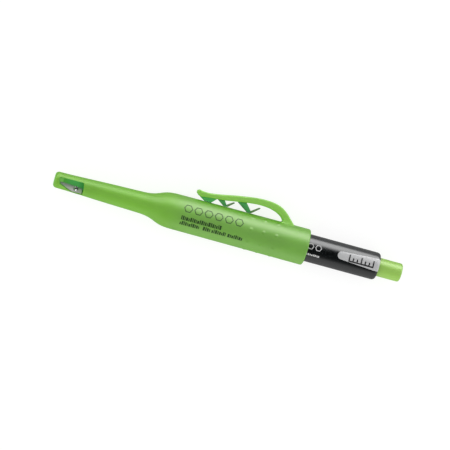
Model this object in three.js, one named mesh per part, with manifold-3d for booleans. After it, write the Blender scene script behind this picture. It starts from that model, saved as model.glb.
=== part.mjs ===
// Push-button lead holder for a 2.8 mm lead, stowed in its quiver with pocket clip and built-in
// lead sharpener. Units are millimetres. +X runs along the pen from the writing point (front) to
// the push button (rear), +Y points to the clip, +Z is up and carries the label and the sharpener
// window. The origin is the centre of the button's flat end face, so all of it lies at negative X.
import * as THREE from "three";
import { mergeVertices } from "three/addons/utils/BufferGeometryUtils.js";
import Module from "manifold-3d";

const wasm = await Module();
wasm.setup();

// ---------------------------------------------------------------- driving dimensions
const BARREL_LENGTH = 93.4;
const BARREL_RADIUS = 6.54;
const BARREL_REAR_X = -11.55;
const BARREL_FRONT_X = BARREL_REAR_X - BARREL_LENGTH;
const TUBE_STICKOUT = 41.4; // steel tube in front of the barrel
const TUBE_INSIDE = 12.1; // steel tube inside the barrel
const TUBE_FRONT_X = BARREL_FRONT_X - TUBE_STICKOUT;
const LEAD_STICKOUT = 5.8;
const BUTTON_LENGTH = 22.85;
const QUIVER_LENGTH = 122;
const QUIVER_MOUTH_X = -46.65;
const QUIVER_TIP_X = QUIVER_MOUTH_X - QUIVER_LENGTH;
const QUIVER_MOUTH_RADIUS = 8.62;
const QUIVER_SHOULDER_RADIUS = 8.35; // where the wide part begins

// ---------------------------------------------------------------- materials
const material = (settings) => new THREE.MeshStandardMaterial(settings);
const materials = {
  black: material({ color: 0x17191a, roughness: 0.38 }),
  quiver: material({ color: 0x6fb53c, roughness: 0.42 }),
  clip: material({ color: 0x6cc032, roughness: 0.4 }),
  insert: material({ color: 0x2f8f3a, roughness: 0.5 }),
  button: material({ color: 0x9bd84f, roughness: 0.35 }),
  white: material({ color: 0xe4e4df, roughness: 0.5 }),
  rubber: material({ color: 0x2a2a2a, roughness: 0.8 }),
  lead: material({ color: 0x4a4b4e, roughness: 0.45, metalness: 0.3 }),
  label: material({ color: 0xc6c7ca, roughness: 0.35, metalness: 0.6 }),
  steel: material({ color: 0xd8dadc, roughness: 0.18, metalness: 1 }),
  blade: material({ color: 0xb9bcc0, roughness: 0.3, metalness: 1 }),
  brass: material({ color: 0xc9a24a, roughness: 0.3, metalness: 1 }),
  spring: material({ color: 0x9da0a3, roughness: 0.3, metalness: 1 }),
};

// ---------------------------------------------------------------- helpers
const WELD_DISTANCE = 1e-4;
const radians = THREE.MathUtils.degToRad;

// Closed mesh geometry to a solid, with only its positions kept.
function solid(geometry) {
  const bare = geometry.index ? geometry.toNonIndexed() : geometry.clone();
  bare.deleteAttribute("normal");
  bare.deleteAttribute("uv");
  const welded = mergeVertices(bare, WELD_DISTANCE);
  return new wasm.Manifold(
    new wasm.Mesh({
      numProp: 3,
      vertProperties: new Float32Array(welded.attributes.position.array),
      triVerts: new Uint32Array(welded.index.array),
    }),
  );
}

function geometryOf(body) {
  const { vertProperties, triVerts } = body.getMesh();
  const geometry = new THREE.BufferGeometry();
  const positions = new THREE.BufferAttribute(new Float32Array(vertProperties), 3);
  geometry.setAttribute("position", positions);
  geometry.setIndex(new THREE.BufferAttribute(new Uint32Array(triVerts), 1));
  geometry.computeVertexNormals();
  return geometry;
}

// Moves each vertex to the place that `carry` gives for its x, y, z.
function carryVertices(geometry, carry) {
  const position = geometry.attributes.position;
  for (let i = 0; i < position.count; i++) {
    position.setXYZ(i, ...carry(position.getX(i), position.getY(i), position.getZ(i)));
  }
  return geometry;
}

// A profile of [x, radius] pairs turned about the X axis.
// One that starts and ends on the axis stays open, any other is closed on itself.
function turned(profile, segments) {
  const points = profile.map(([x, radius]) => new THREE.Vector2(radius, x));
  const isRing = profile[0][1] > 0 || profile.at(-1)[1] > 0;
  let doubleArea = 0;
  points.forEach((point, i) => {
    doubleArea += point.cross(points[(i + 1) % points.length]);
  });
  if (doubleArea < 0) points.reverse();
  if (isRing) points.push(points[0].clone());
  // the start angle centres a flat on +Y
  const lathe = new THREE.LatheGeometry(points, segments, Math.PI / segments);
  // the lathe turns about Y: carry Y to X, Z to Y and X to Z
  return carryVertices(lathe, (x, y, z) => [y, z, x]);
}

// A plain tube along X.
const sleeve = (x0, x1, inner, outer, segments) =>
  turned([[x0, inner], [x1, inner], [x1, outer], [x0, outer]], segments);

const vectors = (pairs) => pairs.map(([x, y]) => new THREE.Vector2(x, y));

// An outline of [x, y] pairs pushed along Z from z0 to z1.
function prismZ(outline, z0, z1, holes = []) {
  const shape = new THREE.Shape(vectors(outline));
  for (const hole of holes) shape.holes.push(new THREE.Path(vectors(hole)));
  const geometry = new THREE.ExtrudeGeometry(shape, { depth: z1 - z0, bevelEnabled: false });
  return geometry.translate(0, 0, z0);
}

// An outline of [x, z] pairs pushed along Y from y0 to y1.
function prismY(outline, y0, y1) {
  const geometry = prismZ(outline, 0, y1 - y0);
  geometry.rotateX(Math.PI / 2); // (x, y, z) to (x, -z, y)
  return geometry.translate(0, y1, 0);
}

const circle = (radius, count) =>
  Array.from({ length: count }, (_, i) => {
    const angle = (2 * Math.PI * i) / count;
    return [radius * Math.cos(angle), radius * Math.sin(angle)];
  });

function mesh(name, geometry, meshMaterial, x = 0) {
  const result = new THREE.Mesh(geometry, meshMaterial);
  result.name = name;
  result.position.x = x;
  return result;
}

// ---------------------------------------------------------------- barrel, x from its front end
const BARREL_SEGMENTS = 40;
const BORE_STEP = 14.4; // the bore widens here
// [x, radius]: outside from front to rear, then the bore back to the front
const BARREL_PROFILE = [
  [0, 3.65], [0.25, 3.86], [2.4, 3.95], [4.5, 4.4], [6.4, 5.18], [7.4, 5.72], [8.4, 6.13],
  [10, 6.4], [13, BARREL_RADIUS], [91.7, BARREL_RADIUS], [92.6, 6.34], [93.2, 5.95],
  [BARREL_LENGTH, 5.5], [79.4, 5.5], [79.4, 4.9], [BORE_STEP, 4.9], [BORE_STEP, 4.1],
  [7.8, 4.1], [7.8, 2.84], [0, 2.84],
];

const LABEL_ANGLE = radians(6.5); // label centre, from +Z towards +Y
const LABEL_LENGTH = 19.6;
const LABEL_REAR = BARREL_LENGTH - 1;
const LABEL_HALF_WIDTH = 3.16; // at the rear
const LABEL_NOSE_RADIUS = 1.9;
const LABEL_NOSE_STEPS = 10;
const LABEL_GAP = 0.12; // air around the plate in its pocket
const POCKET_OVERRUN = 4; // the pocket runs out through the barrel's rear end

const DIMPLE_ROWS = [33.4, -13.2, 78.4, 123.4, 168.4, 213.4, 258.4, 303.4]; // degrees, +Z to +Y
const DIMPLE_PLACES = [19.2, 24.4, 29.7];
const DIMPLE_BALL_RADIUS = 0.95;
const DIMPLE_BALL_LIFT = 0.55; // ball centre outside the barrel's surface

// Upright block with the label's outline: a tongue that narrows towards the point.
function labelBlock(grow, overrun) {
  const halfWidth = LABEL_HALF_WIDTH + grow;
  const noseRadius = LABEL_NOSE_RADIUS + grow;
  const outline = [[0, -halfWidth]];
  if (overrun) outline.push([overrun, -halfWidth], [overrun, halfWidth]);
  outline.push([0, halfWidth]);
  for (let i = 0; i <= LABEL_NOSE_STEPS; i++) {
    const angle = Math.PI / 2 + (Math.PI * i) / LABEL_NOSE_STEPS;
    const x = -LABEL_LENGTH + LABEL_NOSE_RADIUS + noseRadius * Math.cos(angle);
    outline.push([x, noseRadius * Math.sin(angle)]);
  }
  const block = prismZ(outline, 4, 9);
  block.translate(LABEL_REAR, 0, 0);
  block.rotateX(-LABEL_ANGLE);
  return solid(block);
}

function dimpleBall(x, degrees) {
  const ball = new THREE.SphereGeometry(DIMPLE_BALL_RADIUS, 6, 4);
  ball.translate(0, 0, BARREL_RADIUS + DIMPLE_BALL_LIFT);
  ball.rotateX(-radians(degrees));
  ball.translate(x, 0, 0);
  return solid(ball);
}

function makeBarrel() {
  const pocketLayer = solid(sleeve(60, 95, BARREL_RADIUS - 0.3, 8, BARREL_SEGMENTS));
  const pocket = pocketLayer.intersect(labelBlock(LABEL_GAP, POCKET_OVERRUN));
  let barrel = solid(turned(BARREL_PROFILE, BARREL_SEGMENTS)).subtract(pocket);
  for (const degrees of DIMPLE_ROWS) {
    for (const x of DIMPLE_PLACES) barrel = barrel.subtract(dimpleBall(x, degrees));
  }
  return mesh("barrel", geometryOf(barrel), materials.black, BARREL_FRONT_X);
}

function makeLabelPlate() {
  const layer = solid(sleeve(60, LABEL_REAR, 6.3, BARREL_RADIUS + 0.04, BARREL_SEGMENTS));
  const plate = layer.intersect(labelBlock(0, 0));
  return mesh("label_plate", geometryOf(plate), materials.label, BARREL_FRONT_X);
}

// Guides the push button.
function makeRearBush() {
  const profile = [[0, 4.58], [13.5, 4.58], [13.5, 5.1], [13.25, 5.42], [0, 5.42]];
  return mesh("rear_bush", turned(profile, 32), materials.black, BARREL_REAR_X - 13.7);
}

// ---------------------------------------------------------------- steel guide tube and lead
const TUBE_LENGTH = TUBE_STICKOUT + TUBE_INSIDE;
const TUBE_RADIUS = 2.73;
const TUBE_BORE_RADIUS = 2.43;
const LEAD_RADIUS = 1.4;
const LEAD_LENGTH = 120;
const LEAD_CONE_LENGTH = 4.9;

// [x, radius], x from the tube's mouth
const TUBE_PROFILE = [
  [0, 1.95], [0.35, 2.18], [1.1, 2.4], [2.2, 2.6], [4, TUBE_RADIUS], [TUBE_LENGTH, TUBE_RADIUS],
  [TUBE_LENGTH, TUBE_BORE_RADIUS], [5.45, TUBE_BORE_RADIUS], [5.45, 2.33], [3.5, 2.33],
  [3.1, 2], [1.3, 2], [1.3, 1.56], [0, 1.56],
];

const makeGuideTube = () =>
  mesh("guide_tube", turned(TUBE_PROFILE, 28), materials.steel, TUBE_FRONT_X);

const makeLeadRetainer = () =>
  mesh("lead_retainer", sleeve(0, 1.5, 1.48, 1.92, 20), materials.rubber, TUBE_FRONT_X + 1.4);

// Locks the tube in the barrel.
function makeTubeCollar() {
  const profile = [[0, 2.8], [5.9, 2.8], [5.9, 3.7], [5.6, 4], [0.4, 4], [0, 3.7]];
  return mesh("tube_collar", turned(profile, 24), materials.brass, BARREL_FRONT_X + 8.1);
}

function makeLead() {
  const profile = [
    [0, 0], [0.05, 0.14], [LEAD_CONE_LENGTH, LEAD_RADIUS],
    [LEAD_LENGTH, LEAD_RADIUS], [LEAD_LENGTH, 0],
  ];
  return mesh("lead", turned(profile, 20), materials.lead, TUBE_FRONT_X - LEAD_STICKOUT);
}

// ---------------------------------------------------------------- chuck and reservoir tube
const JAW_COUNT = 3;
const JAW_FRONT_X = TUBE_FRONT_X + 7.5;
const JAW_LENGTH = 9.6;
const JAW_HALF_ANGLE = radians(58);
const JAW_SHIFT = 0.12; // each jaw's wedge moved out from the axis
const WEDGE_REACH = 6; // well past the jaws' outside
const JAW_PROFILE = [
  [0, 1.46], [JAW_LENGTH, 1.46], [JAW_LENGTH, 1.8], [1.6, 1.8], [0.3, 2], [0, 1.95],
];
const CHUCK_SLEEVE_X = JAW_FRONT_X + JAW_LENGTH + 0.35;
const LEAD_TUBE_FRONT_X = CHUCK_SLEEVE_X + 3.5;
const LEAD_TUBE_REAR_X = -5.85;

// Wedge along X that cuts one jaw from the ring; its angle runs from +Y towards +Z.
function jawWedge(centreAngle) {
  const tipY = JAW_SHIFT * Math.cos(centreAngle);
  const tipZ = JAW_SHIFT * Math.sin(centreAngle);
  const outline = [[tipY, tipZ]];
  for (const fraction of [-1, -0.5, 0, 0.5, 1]) {
    const angle = centreAngle + fraction * JAW_HALF_ANGLE;
    outline.push([WEDGE_REACH * Math.cos(angle) + tipY, WEDGE_REACH * Math.sin(angle) + tipZ]);
  }
  // carry the outline's plane to YZ and its depth to X
  return solid(carryVertices(prismZ(outline, -1, JAW_LENGTH + 1), (x, y, z) => [z, x, y]));
}

function makeChuckJaws() {
  const ring = solid(turned(JAW_PROFILE, 24));
  return Array.from({ length: JAW_COUNT }, (_, i) => {
    const jaw = ring.intersect(jawWedge((2 * Math.PI * i) / JAW_COUNT + Math.PI / 2));
    return mesh(`chuck_jaw_${i + 1}`, geometryOf(jaw), materials.brass, JAW_FRONT_X);
  });
}

// Closing ring around the jaws.
const makeClutchRing = () =>
  mesh("clutch_ring", sleeve(0, 2.2, 2.12, 2.37, 24), materials.brass, JAW_FRONT_X - 0.15);

function makeChuckSleeve() {
  const profile = [[0, 1.5], [7.5, 1.5], [7.5, 1.7], [3.4, 1.7], [3.4, 2.1], [0, 2.1]];
  return mesh("chuck_sleeve", turned(profile, 24), materials.brass, CHUCK_SLEEVE_X);
}

// Lead reservoir, from the chuck sleeve into the push button.
function makeLeadTube() {
  const tube = sleeve(LEAD_TUBE_FRONT_X, LEAD_TUBE_REAR_X, 1.78, 2.1, 24);
  return mesh("lead_tube", tube, materials.white);
}

// ---------------------------------------------------------------- return spring and its stop
const SPRING_STOP_X = BARREL_FRONT_X + 38.1;
const SPRING_FRONT_X = BARREL_FRONT_X + BORE_STEP;
const SPRING_REAR_X = SPRING_STOP_X - 0.4;
const SPRING_TURNS = 7;
const SPRING_STEPS = 84;
const SPRING_RADIUS = 2.95; // to the wire's centre
const WIRE_RADIUS = 0.28;

class Helix extends THREE.Curve {
  getPoint(fraction, target = new THREE.Vector3()) {
    const angle = 2 * Math.PI * SPRING_TURNS * fraction;
    return target.set(
      SPRING_FRONT_X + (SPRING_REAR_X - SPRING_FRONT_X) * fraction,
      SPRING_RADIUS * Math.cos(angle),
      SPRING_RADIUS * Math.sin(angle),
    );
  }
}

const makeSpringStop = () =>
  mesh("spring_stop", sleeve(0, 4, 2.16, 3.6, 24), materials.white, SPRING_STOP_X);

function makeReturnSpring() {
  const wire = new THREE.Shape(vectors(circle(WIRE_RADIUS, 5)));
  const options = { steps: SPRING_STEPS, extrudePath: new Helix(), bevelEnabled: false };
  return mesh("return_spring", new THREE.ExtrudeGeometry(wire, options), materials.spring);
}

// ---------------------------------------------------------------- push button
const BUTTON_RADIUS = 4.43;
// [x, radius], x from its front end: outside to the rear, then the stepped bore
const BUTTON_PROFILE = [
  [0, 3.5], [0, BUTTON_RADIUS - 0.1], [0.4, BUTTON_RADIUS], [21.15, BUTTON_RADIUS - 0.02],
  [21.9, 4.2], [22.5, 3.7], [BUTTON_LENGTH, 2.9], [BUTTON_LENGTH, 0],
  [18, 0], [18, 2.2], [9, 2.2], [9, 3.5],
];

const makePushButton = () =>
  mesh("push_button", turned(BUTTON_PROFILE, 32), materials.button, -BUTTON_LENGTH);

// ---------------------------------------------------------------- sharpener seat, x from quiver tip
// cone bore in the insert: wide end and narrow end
const CONE_WIDE = { x: 5.3, radius: 1.5 };
const CONE_NARROW = { x: 10.3, radius: 0.25 };
const SEAT_SLOPE = (CONE_WIDE.radius - CONE_NARROW.radius) / (CONE_NARROW.x - CONE_WIDE.x);
const SEAT_TILT = Math.atan(SEAT_SLOPE);
const SEAT_DROP = 0.05; // window floor below the seat
const SCREW_X = 10.5;
const SCREW_Y = -1.75;

// [x, y] seen from +Z
const WINDOW_OUTLINE = [
  [1.9, 0.2], [2, 1.2], [2.6, 1.7], [12.9, 1.7], [13.7, 1.3], [13.95, 0.6], [14.2, -1.5],
  [14.25, -6], [9.5, -6], [9.2, -4], [7.4, -3.3], [5.3, -2.5], [2.5, -1.5],
];
const SLOT_OUTLINE = [[4.2, -0.6], [4.2, 1.6], [13.2, 1.6], [13.2, -0.6]];

// Height of the slanted blade seat, which follows the top of the cone bore.
const seatHeight = (x) => CONE_WIDE.radius - SEAT_SLOPE * (x - CONE_WIDE.x);

// Cuts the window down to the seat, and the slot deeper, in both the quiver and the insert.
function makeSeatTool() {
  const [x0, x1, top] = [-1, 14.3, 7];
  const aboveSeat = [
    [x0, seatHeight(x0) - SEAT_DROP], [x1, seatHeight(x1) - SEAT_DROP], [x1, top], [x0, top],
  ];
  const window = solid(prismZ(WINDOW_OUTLINE, -3, top)).intersect(solid(prismY(aboveSeat, -8, 8)));
  return window.add(solid(prismZ(SLOT_OUTLINE, -0.9, top)));
}

// ---------------------------------------------------------------- quiver body, x from its tip
// [x, radius]: inside up to the mouth, outside back to the tip, then the sharpener's bore
const QUIVER_PROFILE = [
  [15.3, 0], [15.3, 3.05], [51, 3.25], [55, 3.8], [58.5, 4.7], [62.3, 6.1], [66, 6.78],
  [121, 6.85], [QUIVER_LENGTH, 7.2], [QUIVER_LENGTH, 8.05], [121.4, 8.5],
  [120.3, QUIVER_MOUTH_RADIUS], [59, QUIVER_SHOULDER_RADIUS], [56.3, 8.3], [54.3, 8.12],
  [52.3, 7.74], [50.3, 7.06], [48.3, 6.27], [46.3, 5.66], [44.3, 5.3], [42.4, 5.13],
  [30.3, 4.76], [20.3, 4.43], [10.3, 4.03], [6.3, 3.9], [1.7, 3.84], [0.8, 3.7], [0.2, 3.4],
  [0, 3.05], [0, 2.98], [14.4, 2.98], [14.4, 0],
];

function makeQuiverBody(seatTool) {
  const shell = solid(turned(QUIVER_PROFILE, 40)).subtract(seatTool);
  return mesh("holster_body", geometryOf(shell), materials.quiver, QUIVER_TIP_X);
}

// ---------------------------------------------------------------- sharpener insert, blade, screw
// [x, radius], x from the quiver's tip
const INSERT_PROFILE = [
  [0.3, 1.9], [0.7, 1.6], [CONE_WIDE.x, CONE_WIDE.radius], [CONE_NARROW.x, CONE_NARROW.radius],
  [11.4, CONE_NARROW.radius], [11.4, 0], [14.1, 0], [14.1, 2.9], [0.3, 2.9],
];
// [x, y] in the seat's plane, origin on the screw
const BLADE_OUTLINE = [
  [-7.85, 0.6], [-5.2, -0.45], [-2.9, -1.3], [-1.6, -1.75], [3.3, -1.75], [3.3, 0.8],
  [3.1, 0.9], [-7.7, 1.42], [-7.85, 1.3],
];
const SCREW_TOP = 1.16;
// [height above the seat, radius]
const SCREW_PROFILE = [
  [-2.2, 0], [-2.2, 0.5], [0.54, 0.5], [0.54, 1.12], [0.9, 1.05], [1.12, 0.6], [SCREW_TOP, 0],
];
const SCREW_HOLE_PROFILE = [[-2.35, 0], [-2.35, 0.6], [2, 0.6], [2, 0]];

// Turned like the other parts, then stood up from X to Z.
const turnedUpright = (profile) => turned(profile, 14).rotateY(-Math.PI / 2);

function makeSharpenerBody(seatTool) {
  const screwHole = turnedUpright(SCREW_HOLE_PROFILE);
  screwHole.rotateY(SEAT_TILT);
  screwHole.translate(SCREW_X, SCREW_Y, seatHeight(SCREW_X));
  const insert = solid(turned(INSERT_PROFILE, 28)).subtract(seatTool).subtract(solid(screwHole));
  return mesh("sharpener_body", geometryOf(insert), materials.insert, QUIVER_TIP_X);
}

function makeBlade() {
  const plate = prismZ(BLADE_OUTLINE, 0.03, 0.5, [circle(0.62, 16)]);
  return mesh("sharpener_blade", plate, materials.blade);
}

function makeBladeScrew() {
  const slot = new THREE.BoxGeometry(3, 0.28, 0.5).translate(0, 0, SCREW_TOP);
  const screw = solid(turnedUpright(SCREW_PROFILE)).subtract(solid(slot));
  return mesh("blade_screw", geometryOf(screw), materials.steel);
}

// Blade and screw share the seat's tilt.
function makeCutter() {
  const cutter = new THREE.Group();
  cutter.add(makeBlade(), makeBladeScrew());
  cutter.position.set(QUIVER_TIP_X + SCREW_X, SCREW_Y, seatHeight(SCREW_X));
  cutter.rotation.y = SEAT_TILT;
  return cutter;
}

// ---------------------------------------------------------------- pocket clip
const CLIP_WIDTH = 5;
const BARB_WIDTH = 3.6;
const CLIP_GAP = 0.22; // air between the clip and the quiver
// [x, y], x from the quiver's tip: arm with its wedge, outer edge to the rear, inner edge back
const CLIP_ARM = [
  [65.95, 12.8], [66.3, 13.05], [67.8, 12.75], [69.8, 12.6], [71.8, 12.65], [73.8, 12.9],
  [76.8, 13.35], [79.8, 13.95], [83.8, 14.75], [87.8, 15.4], [90.8, 15.85], [93.8, 16.2],
  [96.8, 16.4], [99.8, 16.4], [102.3, 16.1], [104.8, 15.5], [106.8, 14.6], [108.3, 13.6],
  [109.8, 12.3], [111.3, 10.8], [112.8, 9.3], [113.5, 8.7], [113.5, 8.2], [107.4, 8.2],
  [107.8, 8.95], [107.85, 9.35], [107.4, 10], [106.3, 10.95], [104.8, 11.8], [102.8, 12.55],
  [100.8, 13], [97.8, 13.3], [95.8, 13.35], [92.8, 13.15], [88.8, 12.65], [85, 12.1],
  [81.8, 11.5], [78.9, 11.05], [75.7, 10.75], [73.4, 8.55], [70.2, 8.55], [66.2, 10.8],
  [65.95, 11.2],
];
const CLIP_BARBS = [
  [[76.05, 10.9], [78.8, 11.2], [80.35, 9.15], [83.5, 11.4], [83.9, 11], [81.5, 8.6], [79.4, 8.6]],
  [[85.2, 12.3], [88.8, 12.9], [92.3, 9.15], [95.9, 12.25], [96.3, 11.85], [92.7, 8.6], [90.9, 8.6]],
];

function makePocketClip() {
  const plate = (outline, width) => solid(prismZ(outline, -width / 2, width / 2));
  let clip = plate(CLIP_ARM, CLIP_WIDTH);
  for (const barb of CLIP_BARBS) clip = clip.add(plate(barb, BARB_WIDTH));
  const clearance = [
    [58, 0], [58, QUIVER_SHOULDER_RADIUS + CLIP_GAP],
    [121, QUIVER_MOUTH_RADIUS + CLIP_GAP], [121, 0],
  ];
  clip = clip.subtract(solid(turned(clearance, 40)));
  return mesh("pocket_clip", geometryOf(clip), materials.clip, QUIVER_TIP_X);
}

// ---------------------------------------------------------------- assembly
function group(name, ...children) {
  const result = new THREE.Group();
  result.name = name;
  return result.add(...children);
}

const holder = group(
  "holder",
  makeBarrel(),
  makeLabelPlate(),
  makeRearBush(),
  makeGuideTube(),
  makeLeadRetainer(),
  makeTubeCollar(),
  makeLead(),
  ...makeChuckJaws(),
  makeClutchRing(),
  makeChuckSleeve(),
  makeLeadTube(),
  makeSpringStop(),
  makeReturnSpring(),
  makePushButton(),
);

const seatTool = makeSeatTool();
const quiver = group(
  "quiver",
  makeQuiverBody(seatTool),
  makeSharpenerBody(seatTool),
  makeCutter(),
  makePocketClip(),
);

export default group("lead_holder", holder, quiver);
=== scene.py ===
"""A push-button lead holder in its holster.

Both lie along X: the lead's point and the holster's tip are at -X, the push button at +X.
The camera looks down from +Z, and the pocket clip stands off the holster's +Y side.
Lengths are millimetres, except in shaders and where a name ends in _m: those are metres.
Angles round the pen (phi) run from +Z towards +Y.
"""

import math
from functools import cached_property

import bpy
import numpy as np
from mathutils import Matrix, Vector


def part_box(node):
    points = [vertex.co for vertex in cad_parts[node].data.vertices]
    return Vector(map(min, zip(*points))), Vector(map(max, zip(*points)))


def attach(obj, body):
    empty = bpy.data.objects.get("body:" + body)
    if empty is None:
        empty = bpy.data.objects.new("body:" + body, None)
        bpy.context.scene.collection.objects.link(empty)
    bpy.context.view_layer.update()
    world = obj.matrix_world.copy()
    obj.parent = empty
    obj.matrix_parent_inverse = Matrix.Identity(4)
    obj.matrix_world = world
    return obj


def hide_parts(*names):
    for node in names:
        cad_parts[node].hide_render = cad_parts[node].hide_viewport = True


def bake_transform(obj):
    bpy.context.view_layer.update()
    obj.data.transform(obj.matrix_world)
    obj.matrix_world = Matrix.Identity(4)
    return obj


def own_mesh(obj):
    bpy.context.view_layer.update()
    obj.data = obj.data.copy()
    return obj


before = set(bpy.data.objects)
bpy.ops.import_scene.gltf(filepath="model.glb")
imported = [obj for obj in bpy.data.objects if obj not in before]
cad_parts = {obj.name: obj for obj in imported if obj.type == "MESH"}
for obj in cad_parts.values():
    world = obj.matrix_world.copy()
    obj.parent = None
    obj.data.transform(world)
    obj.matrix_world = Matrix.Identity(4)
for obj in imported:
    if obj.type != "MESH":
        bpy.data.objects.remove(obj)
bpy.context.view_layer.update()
MM = 0.001


def span(node):
    """Where a CAD piece starts and ends along X."""
    low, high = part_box(node)
    return low[0] * 1000.0, high[0] * 1000.0


# ------------------------------------------------------------------ shared places and sizes
BARREL_START, BARREL_END = span("barrel")
HOLSTER_START, HOLSTER_END = span("holster_body")
BARREL_R = 6.54
MOUTH_R = 8.62
CLIP_ORIGIN = HOLSTER_START + 167.8  # the clip's points are measured from here


# ------------------------------------------------------------------ mesh helpers
def make_object(name, vertices, faces, material, sharp=32.0):
    mesh = bpy.data.meshes.new(name)
    mesh.from_pydata([tuple(v) for v in np.asarray(vertices, float) * MM], [], faces)
    mesh.validate()
    ob = bpy.data.objects.new(name, mesh)
    bpy.context.scene.collection.objects.link(ob)
    mesh.materials.append(material)
    face_outwards(mesh)
    shade(mesh, sharp)
    return ob


def face_outwards(mesh):
    """Flips the faces if the mesh's signed volume is negative."""
    points = np.zeros(len(mesh.vertices) * 3)
    mesh.vertices.foreach_get("co", points)
    mesh.calc_loop_triangles()
    corners = np.zeros(len(mesh.loop_triangles) * 3, int)
    mesh.loop_triangles.foreach_get("vertices", corners)
    a, b, c = (points.reshape(-1, 3)[corners.reshape(-1, 3)[:, i]] for i in range(3))
    if float(np.einsum("ij,ij->i", a, np.cross(b, c)).sum()) < 0:
        mesh.flip_normals()


def shade(mesh, sharp):
    mesh.polygons.foreach_set("use_smooth", [True] * len(mesh.polygons))
    mesh.set_sharp_from_angle(angle=math.radians(sharp))
    mesh.update()


def monotone_cubic(stations, at):
    """Monotone cubic through stations of (x, y), read at the given x."""
    xs, ys = np.array(stations, float).T
    at = np.asarray(at, float)
    step = np.diff(xs)
    rise = np.diff(ys) / step
    slope = np.zeros(len(xs))
    for i in range(1, len(xs) - 1):
        if rise[i - 1] * rise[i] > 0:
            before = 2 * step[i] + step[i - 1]
            after = step[i] + 2 * step[i - 1]
            slope[i] = (before + after) / (before / rise[i - 1] + after / rise[i])
    slope[0], slope[-1] = rise[0], rise[-1]
    i = np.clip(np.searchsorted(xs, at) - 1, 0, len(step) - 1)
    t = (at - xs[i]) / step[i]
    return (
        (1 + 2 * t) * (1 - t) ** 2 * ys[i]
        + t * (1 - t) ** 2 * step[i] * slope[i]
        + t * t * (3 - 2 * t) * ys[i + 1]
        + t * t * (t - 1) * step[i] * slope[i + 1]
    )


def unit(vector):
    return vector / np.linalg.norm(vector)


def fillet(points, arc_steps=6):
    """An open line of (x, y) or (x, y, radius); a corner with a radius becomes an arc."""
    out = []
    for i, point in enumerate(points):
        radius = point[2] if len(point) > 2 else 0
        if not radius or i in (0, len(points) - 1):
            out.append(point[:2])
            continue
        before, corner, after = (np.array(p[:2], float) for p in points[i - 1 : i + 2])
        to_before, to_after = unit(before - corner), unit(after - corner)
        angle = math.acos(max(-1, min(1, float(to_before @ to_after))))
        if angle > math.pi - 0.02:  # nearly straight
            out.append(tuple(corner))
            continue
        # an arc takes no more than half of either neighbouring side
        reach = min(
            radius / math.tan(angle / 2),
            0.49 * np.linalg.norm(before - corner),
            0.49 * np.linalg.norm(after - corner),
        )
        radius = reach * math.tan(angle / 2)
        centre = corner + unit(to_before + to_after) * (radius / math.sin(angle / 2))
        first = corner + to_before * reach - centre
        last = corner + to_after * reach - centre
        start = math.atan2(first[1], first[0])
        sweep = (math.atan2(last[1], last[0]) - start + math.pi) % (2 * math.pi) - math.pi
        for k in range(arc_steps + 1):
            a = start + sweep * k / arc_steps
            out.append(tuple(centre + radius * np.array([math.cos(a), math.sin(a)])))
    return out


def split_long(profile, step):
    """More points along long straight stretches, for even faces."""
    out = [profile[0]]
    for a, b in zip(profile[:-1], profile[1:]):
        count = max(1, int(math.hypot(b[0] - a[0], b[1] - a[1]) / step))
        for k in range(1, count + 1):
            out.append((a[0] + (b[0] - a[0]) * k / count, a[1] + (b[1] - a[1]) * k / count))
    return out


def shift(start, points):
    """Moves (x, y) pairs along X."""
    return [(start + x, y) for x, y in points]


def on_turned(x, radius, phi):
    """A point at an angle round the X axis."""
    return (x, radius * math.sin(phi), radius * math.cos(phi))


def revolve(name, profile, material, segments, ring=True, bump=None, bumped=(), sharp=32.0):
    """Turns (x, radius) pairs about X.

    A ring's profile closes on itself; the others run from the axis to the axis.
    bump(x, phi) adds to the radius of the profile points whose index is in bumped.
    """
    phi = 2 * math.pi * (np.arange(segments) + 0.5) / segments
    vertices, rows = [], []
    for i, (x, radius) in enumerate(profile):
        first = len(vertices)
        if radius < 1e-6:
            rows.append([first])
            vertices.append((x, 0, 0))
            continue
        radii = np.full(segments, float(radius))
        if i in bumped:
            radii = radii + bump(x, phi)
        rows.append(list(range(first, first + segments)))
        vertices.extend(zip(np.full(segments, x), radii * np.sin(phi), radii * np.cos(phi)))
    faces = []
    for a, b in zip(rows, rows[1:] + (rows[:1] if ring else [])):
        for k in range(segments):
            l = (k + 1) % segments
            if len(a) == 1:
                faces.append((a[0], b[k], b[l]))
            elif len(b) == 1:
                faces.append((a[k], b[0], a[l]))
            else:
                faces.append((a[k], b[k], b[l], a[l]))
    return make_object(name, vertices, faces, material, sharp)


def loft(name, rings, material, sharp):
    """Closed rings of points in order, joined, and closed at both ends."""
    size = len(rings[0])
    faces = []
    for j in range(len(rings) - 1):
        for k in range(size):
            l = (k + 1) % size
            a, b = j * size, (j + 1) * size
            faces.append((a + k, a + l, b + l, b + k))
    faces.append(tuple(range(size))[::-1])
    faces.append(tuple(range((len(rings) - 1) * size, len(rings) * size)))
    return make_object(name, [v for ring in rings for v in ring], faces, material, sharp)


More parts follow.
